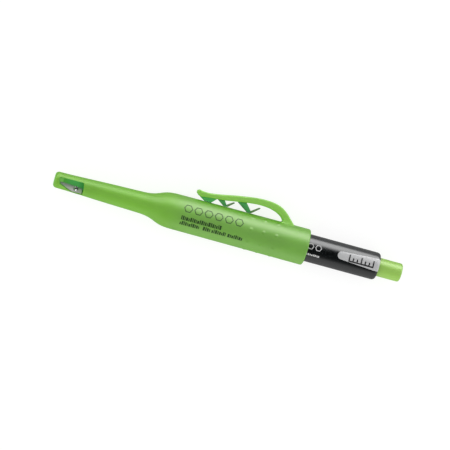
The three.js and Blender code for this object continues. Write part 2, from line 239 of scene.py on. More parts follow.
def prism(name, outline, z0, z1, material, bevel=0.0):
    """A closed outline of (x, y) pushed along Z, with small rounded edges if bevel is set."""
    outline = np.array(outline, float)
    x, y = outline.T
    if float(np.sum(x * np.roll(y, -1) - np.roll(x, -1) * y)) < 0:
        outline = outline[::-1]

    def inset(depth):
        if depth <= 0:
            return outline
        edge = np.roll(outline, -1, 0) - outline
        edge = edge / np.linalg.norm(edge, axis=1)[:, None]
        normal = np.stack([-edge[:, 1], edge[:, 0]], 1)
        miter = normal + np.roll(normal, 1, 0)
        miter = miter / np.maximum(1e-9, np.einsum("ij,ij->i", miter, normal))[:, None]
        length = np.linalg.norm(miter, axis=1)
        miter = miter * np.minimum(1.0, 2.0 / length)[:, None]
        return outline + miter * depth

    layers = [(z0, 0), (z1, 0)]
    if bevel:
        angles = [math.pi / 2 * k / 2 for k in range(3)]
        layers = [(z0 + bevel * (1 - math.cos(a)), bevel * (1 - math.sin(a))) for a in angles]
        layers += [(z0 + z1 - z, depth) for z, depth in layers[::-1]]
    rings = [[(x, y, z) for x, y in inset(depth)] for z, depth in layers]
    return loft(name, rings, material, sharp=32)


def slab_faces(first, rows, columns):
    """Faces of a closed thin slab: a top grid of points from index first, then its bottom grid."""

    def top(i, k):
        return first + i * columns + k

    def bottom(i, k):
        return top(rows + i, k)

    faces = []
    i_end, k_end = rows - 1, columns - 1
    for i in range(i_end):
        for k in range(k_end):
            faces.append((top(i, k), top(i, k + 1), top(i + 1, k + 1), top(i + 1, k)))
            faces.append((bottom(i, k), bottom(i + 1, k), bottom(i + 1, k + 1), bottom(i, k + 1)))
        faces.append((top(i, 0), top(i + 1, 0), bottom(i + 1, 0), bottom(i, 0)))
        faces.append((top(i, k_end), bottom(i, k_end), bottom(i + 1, k_end), top(i + 1, k_end)))
    for k in range(k_end):
        faces.append((top(0, k), bottom(0, k), bottom(0, k + 1), top(0, k + 1)))
        l = k + 1
        faces.append((top(i_end, k), top(i_end, l), bottom(i_end, l), bottom(i_end, k)))
    return faces


def boolean(ob, cutter, operation="DIFFERENCE", sharp=32.0):
    """Applies an exact boolean to ob and removes the cutter."""
    modifier = ob.modifiers.new("cut", "BOOLEAN")
    modifier.object, modifier.operation, modifier.solver = cutter, operation, "EXACT"
    bpy.context.view_layer.update()
    depsgraph = bpy.context.evaluated_depsgraph_get()
    mesh = bpy.data.meshes.new_from_object(ob.evaluated_get(depsgraph))
    ob.modifiers.clear()
    old = ob.data
    ob.data = mesh
    bpy.data.meshes.remove(old)
    mesh.name = ob.name
    bpy.data.objects.remove(cutter)
    shade(mesh, sharp)
    return ob


def finish_piece(ob, body, node):
    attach(ob, body)
    if node:
        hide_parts(node)


# ------------------------------------------------------------------ shader helpers
class Graph:
    """A cleared node tree, with short calls for the nodes used here."""

    def __init__(self, tree, output):
        self.tree = tree
        tree.nodes.clear()
        self.output = self.new(output)

    def new(self, kind, inputs=None, **settings):
        node = self.tree.nodes.new("ShaderNode" + kind)
        for key, value in settings.items():
            setattr(node, key, value)
        for key, value in (inputs or {}).items():
            self.put(node.inputs[key], value)
        return node

    def put(self, socket, value):
        """Links another node's output to the socket, or sets a number or colour."""
        if isinstance(value, bpy.types.NodeSocket):
            self.tree.links.new(value, socket)
        elif isinstance(value, tuple):
            socket.default_value = (*value, 1) if len(socket.default_value) == 4 else value
        else:
            socket.default_value = value

    @cached_property
    def coordinates(self):
        return self.new("TexCoord").outputs

    def split(self, vector):
        return self.new("SeparateXYZ", {0: vector}).outputs

    def noise(self, scale, detail, rough, stretch=None):
        vector = self.coordinates["Object"]
        if stretch is not None:
            vector = self.new("Mapping", {"Scale": stretch, "Vector": vector}).outputs[0]
        inputs = {"Scale": scale, "Detail": detail, "Roughness": rough, "Vector": vector}
        return self.new("TexNoise", inputs).outputs["Fac"]

    def ramp(self, value, stops, interpolation="LINEAR"):
        node = self.new("ValToRGB", {0: value})
        elements = node.color_ramp.elements
        while len(elements) > 1:
            elements.remove(elements[-1])
        elements[0].position, elements[0].color = stops[0][0], (*stops[0][1], 1)
        for position, color in stops[1:]:
            elements.new(position).color = (*color, 1)
        node.color_ramp.interpolation = interpolation
        return node.outputs[0]

    def threshold(self, value, low, high):
        """Black below low, white above high."""
        return self.ramp(value, [(low, (0, 0, 0)), (high, (1, 1, 1))])

    def math(self, operation, *values):
        return self.new("Math", dict(enumerate(values)), operation=operation).outputs[0]

    def spread(self, value, amount, low):
        """amount * value + low"""
        return self.math("ADD", self.math("MULTIPLY", value, amount), low)

    def mix(self, factor, a, b, blend="MIX"):
        inputs = {0: factor, 6: a, 7: b}
        return self.new("Mix", inputs, data_type="RGBA", blend_type=blend).outputs[2]

    def mix_value(self, factor, a, b):
        rest = self.math("MULTIPLY", a, self.math("SUBTRACT", 1.0, factor))
        return self.math("ADD", rest, self.math("MULTIPLY", b, factor))

    def map_range(self, value, low, high, to_low=0.0, to_high=1.0, kind="SMOOTHSTEP"):
        inputs = {0: value, 1: low, 2: high, 3: to_low, 4: to_high}
        return self.new("MapRange", inputs, interpolation_type=kind).outputs[0]

    def bump(self, height, strength, distance_m, normal=None):
        inputs = {"Strength": strength, "Distance": distance_m, "Height": height}
        if normal is not None:
            inputs["Normal"] = normal
        return self.new("Bump", inputs).outputs[0]

    def light_path(self, key):
        return self.new("LightPath").outputs[key]


class Material(Graph):
    def __init__(self, name):
        self.material = bpy.data.materials.new(name)
        self.material.use_nodes = True
        super().__init__(self.material.node_tree, "OutputMaterial")

    def principled(self, **inputs):
        """Closes the tree with a principled shader; underscores stand for spaces."""
        inputs = {key.replace("_", " "): value for key, value in inputs.items()}
        shader = self.new("BsdfPrincipled", inputs)
        self.put(self.output.inputs[0], shader.outputs[0])
        return self.material


def srgb(*channels):
    """sRGB 0-255 to linear."""
    values = [c / 255.0 for c in channels]
    return tuple(v / 12.92 if v <= 0.04045 else ((v + 0.055) / 1.055) ** 2.4 for v in values)


def scaled(color, factor):
    return tuple(v * factor for v in color)


# ------------------------------------------------------------------ materials
def satin_plastic(
    name, base, rough=0.44, mottle=1.0, sheen=0.94, tint=(1, 0.93, 1),
    barrel_shade=None, barrel_shade_x=None, start_shading_color=None, shading_start_x=None, glow=None, start_glow=None,
):
    """Satin translucent plastic.

    barrel_shade: painted shade, a colour factor reached across barrel_shade_x, where something black
    sits behind the wall.
    start_shading_color: painted shading, a colour on the -X side of shading_start_x, changing to base
    across it.
    glow, start_glow: daylight through the thin wall, beyond shading_start_x and before it.
    """
    n = Material(name)
    cloud = n.threshold(n.noise(scale=70, detail=3, rough=0.55), 0.35, 0.65)
    flow = n.noise(scale=9, detail=2, rough=0.5, stretch=(9, 60, 60))
    color = n.mix(cloud, scaled(base, 1 - 0.05 * mottle), scaled(base, 1 + 0.04 * mottle))
    pale = (base[0] * 1.25, base[1] * 1.12, base[2] * 1.5)
    color = n.mix(n.math("MULTIPLY", flow, 0.10 * mottle), color, pale)
    if barrel_shade is not None:
        wobble = n.math("SUBTRACT", n.noise(scale=160, detail=2, rough=0.5), 0.5)
        wobble = n.math("MULTIPLY", wobble, 0.006)
        place = n.math("ADD", n.split(n.coordinates["Object"])[0], wobble)
        # painted shade: darker where the black barrel sits behind the thin wall
        behind = n.map_range(place, *barrel_shade_x)
        color = n.mix(behind, color, barrel_shade, blend="MULTIPLY")
        sheen = n.spread(behind, amount=sheen * 0.42, low=sheen * 0.58)
    specks = n.threshold(n.noise(scale=2600, detail=1, rough=0.4), 0.70, 0.78)
    color = n.mix(n.math("MULTIPLY", specks, 0.08), color, scaled(base, 0.6))
    extra = {}
    if start_shading_color is not None:
        x = n.split(n.coordinates["Object"])[0]
        # painted shading: the start colour gives way to the base colour across the span
        beyond = n.map_range(x, *shading_start_x)
        color = n.mix(beyond, start_shading_color, color)
        if glow is not None:
            shine = n.mix(beyond, start_glow, glow)
            # less light gets through where the body behind it is solid
            solid = n.map_range(x, shading_start_x[1] + 0.0022, shading_start_x[1] + 0.0052)
            shine = n.mix(solid, shine, scaled(glow, 0.35))
            extra = dict(Emission_Color=shine, Emission_Strength=1.0)
    grain = n.bump(n.noise(scale=5200, detail=2, rough=0.5), strength=0.3, distance_m=0.00002)
    waves = n.noise(scale=240, detail=3, rough=0.5)
    return n.principled(
        Base_Color=color,
        Specular_IOR_Level=sheen,
        Specular_Tint=tint,
        IOR=1.85,
        Roughness=n.spread(n.noise(scale=420, detail=4, rough=0.6), 0.14, rough - 0.07),
        Subsurface_Weight=0.06,
        Subsurface_Radius=(0.9, 1.5, 0.5),
        Subsurface_Scale=0.001,
        Normal=n.bump(waves, strength=0.25, distance_m=0.00004, normal=grain),
        **extra,
    )


def edge_wear(n, width_m):
    """1 near sharp edges, 0 on the flats."""
    rounded = n.new("Bevel", {"Radius": width_m}, samples=4).outputs[0]
    normal = n.new("NewGeometry").outputs["Normal"]
    dot = n.new("VectorMath", {0: rounded, 1: normal}, operation="DOT_PRODUCT")
    return n.math("SUBTRACT", 1.0, dot.outputs["Value"])


def black_plastic():
    n = Material("black_plastic")
    base = (0.003, 0.0048, 0.0054)
    cloud = n.threshold(n.noise(scale=90, detail=3, rough=0.6), 0.3, 0.7)
    color = n.mix(cloud, scaled(base, 0.85), scaled(base, 1.3))
    worn = n.threshold(edge_wear(n, width_m=0.00025), 0.02, 0.2)
    color = n.mix(n.math("MULTIPLY", worn, 0.25), color, (0.05, 0.052, 0.054))
    grain = n.bump(n.noise(scale=4200, detail=2, rough=0.6), strength=0.5, distance_m=0.000025)
    scratches = n.noise(scale=60, detail=5, rough=0.7, stretch=(6, 240, 240))
    scratches = n.threshold(scratches, 0.62, 0.66)
    return n.principled(
        Base_Color=color,
        IOR=1.85,
        Specular_IOR_Level=0.72,
        Roughness=n.spread(n.noise(scale=700, detail=4, rough=0.65), amount=0.14, low=0.23 - 0.07),
        Normal=n.bump(scratches, strength=0.06, distance_m=0.00002, normal=grain),
    )


def metal(
    name, base, rough, grain, strength,
    stretch=(1, 1, 1), rough_range=0.1, tint=None, metallic=1.0,
):
    """Metal with fine grain; tint is the second colour of its slow variation."""
    n = Material(name)
    fine = n.noise(scale=grain, detail=4, rough=0.6, stretch=stretch)
    tone = n.noise(scale=80, detail=3, rough=0.6)
    return n.principled(
        Base_Color=n.mix(tone, scaled(base, 0.92), tint or scaled(base, 1.04)),
        Metallic=metallic,
        Roughness=n.spread(fine, amount=rough_range, low=rough - rough_range / 2),
        Normal=n.bump(fine, strength, distance_m=0.00001),
    )


def ground_steel():
    """Small steel blade: lengthwise grinding marks; darker and greener towards +Y, a painted
    reflection of the dark green recess.
    """
    n = Material("blade_steel")
    marks = n.noise(scale=1500, detail=4, rough=0.6, stretch=(0.8, 9, 9))
    y = n.split(n.coordinates["Object"])[1]
    wobble = n.math("MULTIPLY", n.noise(scale=500, detail=2, rough=0.5), 0.0004)
    # painted reflection: the +Y side takes on the dark green of the recess wall it faces
    edge = n.map_range(n.math("ADD", y, wobble), low=-0.0026, high=-0.0006)
    plain = n.mix(edge, (0.60, 0.635, 0.57), (0.25, 0.31, 0.25))
    marked = n.mix(edge, (0.45, 0.46, 0.44), (0.36, 0.39, 0.36))
    return n.principled(
        Base_Color=n.mix(n.math("MULTIPLY", marks, 0.4), plain, marked),
        Metallic=0.25,
        Roughness=n.spread(marks, amount=0.16, low=0.27),
        Normal=n.bump(marks, strength=0.25, distance_m=0.00001),
    )


def foil():
    n = Material("label_foil")
    grain = n.noise(scale=900, detail=4, rough=0.6, stretch=(0.5, 8, 8))
    fleck = n.noise(scale=3800, detail=2, rough=0.5)
    color = n.mix(grain, (0.48, 0.485, 0.49), (0.54, 0.545, 0.55))
    return n.principled(
        Base_Color=n.mix(n.math("MULTIPLY", fleck, 0.2), color, (0.60, 0.605, 0.61)),
        Metallic=0.05,
        IOR=1.85,
        Specular_IOR_Level=0.82,
        Roughness=n.spread(grain, amount=0.12, low=0.38),
        Normal=n.bump(grain, strength=0.25, distance_m=0.00001),
    )


def print_ink(name, base):
    n = Material(name)
    worn = n.threshold(n.noise(scale=1500, detail=4, rough=0.7), 0.38, 0.62)
    grain = n.noise(scale=3000, detail=2, rough=0.5)
    return n.principled(
        Base_Color=n.mix(worn, scaled(base, 0.8), base),
        Roughness=n.spread(worn, amount=0.1, low=0.45),
        Normal=n.bump(grain, strength=0.3, distance_m=0.00001),
    )


def white_plastic():
    n = Material("white_plastic")
    base = (0.72, 0.72, 0.68)
    grain = n.noise(scale=3600, detail=2, rough=0.5)
    return n.principled(
        Base_Color=n.mix(n.noise(scale=120, detail=3, rough=0.5), scaled(base, 0.94), base),
        Subsurface_Weight=0.3,
        Subsurface_Radius=(1, 1, 1),
        Subsurface_Scale=0.0008,
        Roughness=n.spread(n.noise(scale=500, detail=3, rough=0.6), amount=0.12, low=0.36),
        Normal=n.bump(grain, strength=0.3, distance_m=0.00002),
    )


def graphite():
    n = Material("lead_core")
    streak = n.noise(scale=500, detail=5, rough=0.7, stretch=(0.25, 3, 3))
    grain = n.noise(scale=3800, detail=3, rough=0.6)
    return n.principled(
        Base_Color=n.mix(streak, (0.045, 0.045, 0.048), (0.12, 0.12, 0.125)),
        Metallic=0.35,
        Roughness=n.spread(grain, amount=0.25, low=0.28),
        Normal=n.bump(grain, strength=0.45, distance_m=0.00002),
    )


def rubber():
    n = Material("black_rubber")
    grain = n.noise(scale=2400, detail=4, rough=0.6)
    return n.principled(
        Base_Color=n.mix(grain, (0.012, 0.012, 0.012), (0.03, 0.03, 0.03)),
        Roughness=0.78,
        Normal=n.bump(grain, strength=0.5, distance_m=0.00003),
    )


# painted shade on the holster's rear, where the black barrel sits inside it
HOLSTER_PLASTIC = satin_plastic(
    "green_plastic", (0.164, 0.505, 0.004), tint=(0.96, 0.72, 0.93),
    barrel_shade=(0.87, 0.955, 0.3), barrel_shade_x=((BARREL_START - 12) * MM, (BARREL_START + 2) * MM),
)
CLIP_PLASTIC = satin_plastic(
    "clip_green_plastic", (0.25, 0.69, 0.026), rough=0.42, mottle=0.6, sheen=0.82
)
# painted shade: the ribs and barbs under the clip arm get deeper green copies of the clip plastic for
# the arm's shadow, and the barbs' thin flags turn olive as the same plastic in other light
RIB_SHADED_PLASTICS = [
    satin_plastic("clip_shaded_deep_green_plastic", srgb(59, 183, 74), rough=0.5, mottle=0.6, sheen=0.4)
]
for number, x in ((1, CLIP_ORIGIN - 87.6), (2, CLIP_ORIGIN - 76.1)):
    RIB_SHADED_PLASTICS.append(
        satin_plastic(
            f"clip_barb_shaded_plastic_{number}", (0.11, 0.26, 0.06),
            rough=0.5, mottle=0.6, sheen=0.35,
            start_shading_color=srgb(50, 158, 68), shading_start_x=(x * MM, (x + 1.1) * MM),
        )
    )
# painted light: the lighter colour towards the tip and the glow stand for daylight through the thin
# wall into the recess
INSERT_PLASTIC = satin_plastic(
    "dark_green_plastic", srgb(60, 172, 76), rough=0.5, mottle=0.6, sheen=0.3,
    start_shading_color=srgb(100, 167, 58),
    shading_start_x=((HOLSTER_START + 2.5) * MM, (HOLSTER_START + 9.0) * MM),
    glow=(0.024, 0.115, 0.026), start_glow=(0.038, 0.13, 0.018),
)
BUTTON_PLASTIC = satin_plastic(
    "lime_plastic", (0.325, 0.67, 0.046), rough=0.41, mottle=0.6, sheen=0.86, tint=(1, 0.86, 1)
)
BLACK_PLASTIC = black_plastic()
POLISHED_STEEL = metal(
    "polished_steel", (0.60, 0.61, 0.62), rough=0.21, grain=420, strength=0.015,
    stretch=(0.15, 6, 6), rough_range=0.04, metallic=0.6,
)
LABEL_FOIL = foil()
BLADE_STEEL = ground_steel()
SCREW_STEEL = metal(
    "screw_steel", (0.82, 0.84, 0.84), rough=0.2, grain=1500, strength=0.06,
    rough_range=0.08, metallic=0.92,
)
BRASS = metal(
    "brass", (0.78, 0.58, 0.25), rough=0.2, grain=900, strength=0.12,
    stretch=(0.4, 6, 6), tint=(0.72, 0.50, 0.20),
)
SPRING_STEEL = metal("spring_steel", (0.55, 0.56, 0.58), rough=0.22, grain=1600, strength=0.1)
INK_DARK = print_ink("ink_dark_green", srgb(40, 78, 20))
INK_GREY = print_ink("ink_grey_green", srgb(74, 106, 58))
INK_WHITE = print_ink("ink_white", srgb(214, 214, 214))
INK_BLACK = print_ink("ink_black", (0.012, 0.012, 0.014))
WHITE_PLASTIC = white_plastic()
GRAPHITE = graphite()
RUBBER = rubber()


# ------------------------------------------------------------------ barrel
# (x from the barrel's start, outer radius) along the nose
NOSE_STATIONS = [
    (0, 3.66), (0.25, 3.84), (1.3, 3.9), (2.4, 3.96), (3.5, 4.14), (4.5, 4.41), (5.5, 4.76),
    (6.4, 5.18), (7.4, 5.72), (8.4, 6.13), (9.6, 6.39), (11.0, 6.5), (13.0, BARREL_R),
]
BARREL_LENGTH = BARREL_END - BARREL_START
# the +X end: an elliptical edge round a flat
REAR_FLAT_R, REAR_ROUND_X = 5.5, 1.75
REAR_ROUND_R = BARREL_R - REAR_FLAT_R
# (x from the barrel's start, radius) of the bore, from the +X end to the nose
BARREL_BORE = [
    (79.4, REAR_FLAT_R), (79.4, 4.9), (14.4, 4.9), (14.4, 4.1), (7.8, 4.1), (7.8, 2.84),
    (0.25, 2.84),
]
DIMPLE_X = [BARREL_START + x for x in (19.2, 24.4, 29.7)]
DIMPLE_PHI = [math.radians(33.4 + 45 * k) for k in range(8)]


def dots(centres_x, centres_phi, dot_r, height, surface_r, power):
    """A bump for revolve: round dots, hollow where height is negative."""

    def bump(x, phi):
        out = np.zeros(len(phi))
        for centre_x in (c for c in centres_x if abs(c - x) < dot_r):
            for centre_phi in centres_phi:
                turn = (phi - centre_phi + math.pi) % (2 * math.pi) - math.pi
                q = ((x - centre_x) ** 2 + (turn * surface_r) ** 2) / dot_r**2
                out += height * np.clip(1 - q, 0, None) ** power * (q < 1)
        return out

    return bump


def build_barrel():
    nose_x = np.linspace(0.22, 13, 40)
    profile = [(0.0, 3.1), (0.0, 3.45)] + list(zip(nose_x, monotone_cubic(NOSE_STATIONS, nose_x)))
    # close rows where the dimples are
    for start, end, step in (
        (13.6, 18.0, 0.8), (18.0, 31.0, 0.17), (31.2, BARREL_LENGTH - 2.2, 0.9)
    ):
        profile += [(x, BARREL_R) for x in np.arange(start, end, step)]
    dimpled = range(len(profile))
    for a in np.linspace(0, math.pi / 2, 13):
        x = BARREL_LENGTH - REAR_ROUND_X + REAR_ROUND_X * math.sin(a)
        profile.append((x, REAR_FLAT_R + REAR_ROUND_R * math.cos(a)))
    barrel = revolve(
        "barrel_shell", shift(BARREL_START, profile + BARREL_BORE), BLACK_PLASTIC, segments=240,
        bump=dots(DIMPLE_X, DIMPLE_PHI, dot_r=0.92, height=-0.5, surface_r=BARREL_R, power=0.8),
        bumped=dimpled, sharp=38,
    )
    finish_piece(barrel, "pen", "barrel")


def build_rear_bush():
    start, end = span("rear_bush")
    profile = [
        (start, 4.66), (start + 0.08, 4.58), (end - 0.1, 4.58), (end, 4.68), (end - 0.01, 4.95),
        (end - 0.1, 5.25), (end - 0.28, 5.42), (start + 0.1, 5.42), (start, 5.3),
    ]
    bush = revolve("rear_bush_sleeve", profile, BLACK_PLASTIC, segments=120)
    finish_piece(bush, "pen", "rear_bush")


build_barrel()
build_rear_bush()

# ------------------------------------------------------------------ label: a thin tongue on the barrel
LABEL_START, LABEL_END = span("label_plate")
LABEL_PHI = math.radians(6.5)
LABEL_TIP_R = 1.9
LABEL_END_HALF = 3.16  # half width at +X
LABEL_LIFT, LABEL_DEPTH = 0.06, 0.15  # above and below the barrel's surface
LABEL_EDGE, LABEL_EDGE_DROP = 0.12, 0.03  # width and depth of the eased long edges
LABEL_STEPS = 24


def barrel_radius(x):
    """Barrel radius behind the nose."""
    q = (x - (BARREL_END - REAR_ROUND_X)) / REAR_ROUND_X
    if q <= 0:
        return BARREL_R
    return REAR_FLAT_R + REAR_ROUND_R * math.sqrt(max(0.0, 1 - q * q))


def label_half_width(x):
    """A round tip at -X, then straight sides that widen towards +X."""
    past_tip = x - (LABEL_START + LABEL_TIP_R)
    t = past_tip / (LABEL_END - LABEL_START - LABEL_TIP_R)
    if t >= 0:
        return LABEL_TIP_R + (LABEL_END_HALF - LABEL_TIP_R) * t
    return math.sqrt(max(0.0, LABEL_TIP_R**2 - past_tip**2))


def build_label():
    xs = [LABEL_START + LABEL_TIP_R * (1 - math.cos(math.pi / 2 * k / 12)) for k in range(1, 13)]
    round_start = BARREL_END - REAR_ROUND_X
    xs += list(np.linspace(LABEL_START + LABEL_TIP_R + 0.5, round_start - 0.05, 26))
    for a in np.linspace(0.03, math.pi / 2, 12):
        xs.append(round_start + (REAR_ROUND_X - 0.02) * math.sin(a))
    vertices = []
    for top, offset in ((True, LABEL_LIFT), (False, -LABEL_DEPTH)):
        for x in xs:
            half = label_half_width(min(x, BARREL_END - 0.6))
            for k in range(LABEL_STEPS + 1):
                s = half * (-1 + 2 * k / LABEL_STEPS)
                drop = 0
                if top and half > 0.2:
                    edge = max(0.0, (abs(s) - (half - LABEL_EDGE)) / LABEL_EDGE)
                    drop = LABEL_EDGE_DROP * edge**2
                radius = barrel_radius(x) + offset - drop
                vertices.append(on_turned(x, radius, LABEL_PHI + s / BARREL_R))
    faces = slab_faces(0, len(xs), LABEL_STEPS + 1)
    label = make_object("label_tongue", vertices, faces, LABEL_FOIL, sharp=40)
    finish_piece(label, "pen", "label_plate")


build_label()


# ------------------------------------------------------------------ printed marks
# Marks lie on a turned surface: x along it, s round it from +Z towards +Y.
INK_LIFT = 0.03


def print_patches(name, patches, surface, body, ink, slot):
    """Thin closed patches (x0, x1, s0, s1) on the surface whose radius is surface(x)."""
    vertices, faces = [], []
    for x0, x1, s0, s1 in patches:
        middle_r = surface((x0 + x1) / 2)
        s_count = max(1, int(abs(s1 - s0) / 0.4))
        x_count = max(1, int(abs(x1 - x0) / 1.0))
        faces += slab_faces(len(vertices), x_count + 1, s_count + 1)
        for level in (INK_LIFT, -0.06):
            for i in range(x_count + 1):
                x = x0 + (x1 - x0) * i / x_count
                for k in range(s_count + 1):
                    s = s0 + (s1 - s0) * k / s_count
                    vertices.append(on_turned(x, surface(x) + level, s / middle_r))
    ob = make_object(name, vertices, faces, ink, sharp=40)
    finish_piece(ob, body, None)


def print_outlines(name, outlines, width, surface, body, ink, slot):
    """Thin closed ribbons that follow closed outlines of (x, s)."""
    vertices, faces = [], []
    for outline in outlines:
        corners = [np.array(p, float) for p in outline + outline[:1]]
        line = []
        for a, b in zip(corners[:-1], corners[1:]):
            count = max(1, int(np.linalg.norm(b - a) / 0.7))
            line += [a + (b - a) * k / count for k in range(count)]
        rows = []
        for i, point in enumerate(line):
            before = unit(point - line[i - 1])
            after = unit(line[(i + 1) % len(line)] - point)
            normal_before = np.array([-before[1], before[0]])
            normal_after = np.array([-after[1], after[0]])
            miter = normal_before + normal_after
            miter = miter / max(0.3, 1 + float(normal_before @ normal_after))
            rows.append(range(len(vertices), len(vertices) + 4))
            for side, level in ((-1, INK_LIFT), (1, INK_LIFT), (1, -0.05), (-1, -0.05)):
                x, s = point + miter * width / 2 * side
                vertices.append(on_turned(x, surface(x) + level, s / surface(x)))
        for a, b in zip(rows, rows[1:] + rows[:1]):
            for k in range(4):
                l = (k + 1) % 4
                faces.append((a[k], a[l], b[l], b[k]))
    ob = make_object(name, vertices, faces, ink, sharp=30)
    finish_piece(ob, body, None)


def bar_groups(x, lengths, s0, s1, pattern, wide=1.0):
    """Groups of small bars along X; pattern picks where the cycle of bar sizes starts."""
    widths = (0.42, 0.6, 0.36, 0.78, 0.48, 0.66)
    cuts = (0.0, 0.16, 0.0, 0.28, 0.1)  # share of the height taken off at s1
    out = []
    for length in lengths:
        end = x + length
        while x + widths[pattern % 6] * wide < end:
            width = widths[pattern % 6] * wide
            out.append((x, x + width, s0, s1 - (s1 - s0) * cuts[(pattern * 2) % 5]))
            x += width + 0.26
            pattern += 1
        x = end + 0.75
    return out


def hexagons(x, s, pitch, count, radius):
    """A row of hexagons along X."""
    turns = [math.pi / 3 * k for k in range(6)]
    return [
        [(x + pitch * i + radius * math.cos(a), s + radius * math.sin(a)) for a in turns]
        for i in range(count)
    ]


def build_label_scale():
    middle = LABEL_PHI * BARREL_R
    start = BARREL_END - 15.1
    patches = [(start, start + 12.3, middle - 2.0, middle - 1.35)]
    for k in range(7):
        x = start + 1.95 * k
        top = middle + (1.4 if k % 3 == 0 else 0.1)
        patches.append((x, x + 0.62, middle - 1.33, top))
    print_patches(
        "label_scale", patches, lambda x: BARREL_R + LABEL_LIFT, "pen", INK_BLACK, "label_foil"
    )


def build_barrel_marks():
    start = BARREL_START + 38.8
    bars = bar_groups(start, (14.6, 11.1), s0=-3.35, s1=-2.35, pattern=3)
    place = (lambda x: BARREL_R, "pen", INK_WHITE, "black_plastic")
    print_patches("barrel_dashes", bars, *place)
    row = hexagons(start + 1.7, 1.1, pitch=3.8, count=7, radius=1.42)
    print_outlines("barrel_sections", row, 0.33, *place)


build_label_scale()
build_barrel_marks()


# ------------------------------------------------------------------ push button
def build_button():
    start, end = span("push_button")
    length = end - start
    bore = [(18.0, 0.0), (18.0, 2.2), (9.0, 2.2), (9.0, 3.5), (0.0, 3.5)]
    outside = [
        (0.0, 3.55), (0.0, 4.43, 0.25), (length - 2.0, 4.41), (length, 4.4, 1.65), (length, 0)
    ]
    outside = split_long(fillet(outside, arc_steps=12), 1.2)
    button = revolve(
        "push_button_cap", shift(start, bore + outside), BUTTON_PLASTIC, segments=160,
        ring=False, sharp=45,
    )
    finish_piece(button, "button", "push_button")


build_button()


# ------------------------------------------------------------------ steel tube and lead
# (x from the tube's start, outer radius) along its rounded tip
TUBE_TIP = [(0.0, 2.02), (0.35, 2.2), (1.1, 2.42), (2.2, 2.61), (3.4, 2.7), (4.6, 2.73)]
TUBE_R = 2.73
TUBE_BORE_R = 2.43
# (x from the tube's start, radius) of the stepped bore, from its wide part to the tip
TUBE_BORE = [
    (5.45, TUBE_BORE_R), (5.45, 2.33), (3.5, 2.33), (3.1, 2.0), (1.3, 2.0), (1.3, 1.56),
    (0.08, 1.56),
]
LEAD_R = 1.4
LEAD_TIP_X, LEAD_TIP_R = 0.1, 0.13
LEAD_CONE = 4.85


def build_guide_tube():
    start, end = span("guide_tube")
    length = end - start
    tip_x = np.linspace(0.12, 4.6, 22)
    profile = [(0.0, 1.62), (0.0, 1.96)] + list(zip(tip_x, monotone_cubic(TUBE_TIP, tip_x)))
    profile += [(x, TUBE_R) for x in np.arange(6.0, length - 0.4, 1.5)]
    profile += [(length - 0.2, TUBE_R), (length, 2.6), (length, TUBE_BORE_R)] + TUBE_BORE
    tube = revolve(
        "steel_guide_tube", shift(start, profile), POLISHED_STEEL, segments=128, sharp=38
    )
    finish_piece(tube, "pen", "guide_tube")


def build_lead():
    start, end = span("lead")
    length = end - start

    def sharpener_marks(x, phi):
        """Fine spiral steps on the cone."""
        if 0.4 < x - start < 4.8:
            return 0.012 * np.sin(2 * math.pi * (x - start) / 0.45 + phi)
        return np.zeros(len(phi))

    profile = [(0.0, 0.0), (0.03, 0.08), (LEAD_TIP_X, LEAD_TIP_R)]
    for x in np.linspace(0.3, LEAD_TIP_X + LEAD_CONE, 44):
        profile.append((x, LEAD_TIP_R + (LEAD_R - LEAD_TIP_R) * (x - LEAD_TIP_X) / LEAD_CONE))
    profile += [(x, LEAD_R) for x in np.arange(5.6, length - 0.4, 2.5)]
    profile += [(length - 0.15, LEAD_R), (length, 1.25), (length, 0.0)]
    lead = revolve(
        "graphite_lead", shift(start, profile), GRAPHITE, segments=64, ring=False,
        bump=sharpener_marks, bumped=range(len(profile)), sharp=38,
    )
    finish_piece(lead, "lead_stick", "lead")


build_guide_tube()
build_lead()

# ------------------------------------------------------------------ working parts inside the barrel
# name, inner radius, outer radius, chamfer, material, body, node, slot
RING_PIECES = [
    ("rubber_retainer", 1.48, 1.92, 0.08, RUBBER, "pen", "lead_retainer", "black_rubber"),
    ("brass_tube_collar", 2.8, 4.0, 0.3, BRASS, "pen", "tube_collar", "brass"),
    ("brass_clutch_ring", 2.12, 2.37, 0.06, BRASS, "ring", "clutch_ring", "brass"),
    ("spring_stop_collar", 2.16, 3.6, 0.3, WHITE_PLASTIC, "plunger", "spring_stop",
     "white_plastic"),
    ("reservoir_tube", 1.78, 2.1, 0.08, WHITE_PLASTIC, "plunger", "lead_tube", "white_plastic"),
]


def build_ring_piece(name, inner, outer, chamfer, material, body, node, slot):
    start, end = span(node)
    half = chamfer * 0.5
    profile = [
        (start, inner + half), (start, outer - chamfer), (start + chamfer, outer),
        (end - chamfer, outer), (end, outer - chamfer), (end, inner + half),
        (end - half, inner), (start + half, inner),
    ]
    profile = split_long(profile + profile[:1], 2.0)[:-1]
    finish_piece(revolve(name, profile, material, segments=80), body, node)


def build_chuck_sleeve():
    start, end = span("chuck_sleeve")
    profile = [
        (start, 1.56), (start, 2.02), (start + 0.1, 2.1), (start + 3.35, 2.1),
        (start + 3.4, 2.04), (start + 3.4, 1.7), (end - 0.1, 1.7), (end, 1.64), (end, 1.55),
        (end - 0.08, 1.5), (start + 0.08, 1.5),
    ]
    sleeve = revolve("brass_chuck_sleeve", profile, BRASS, segments=80)
    finish_piece(sleeve, "plunger", "chuck_sleeve")


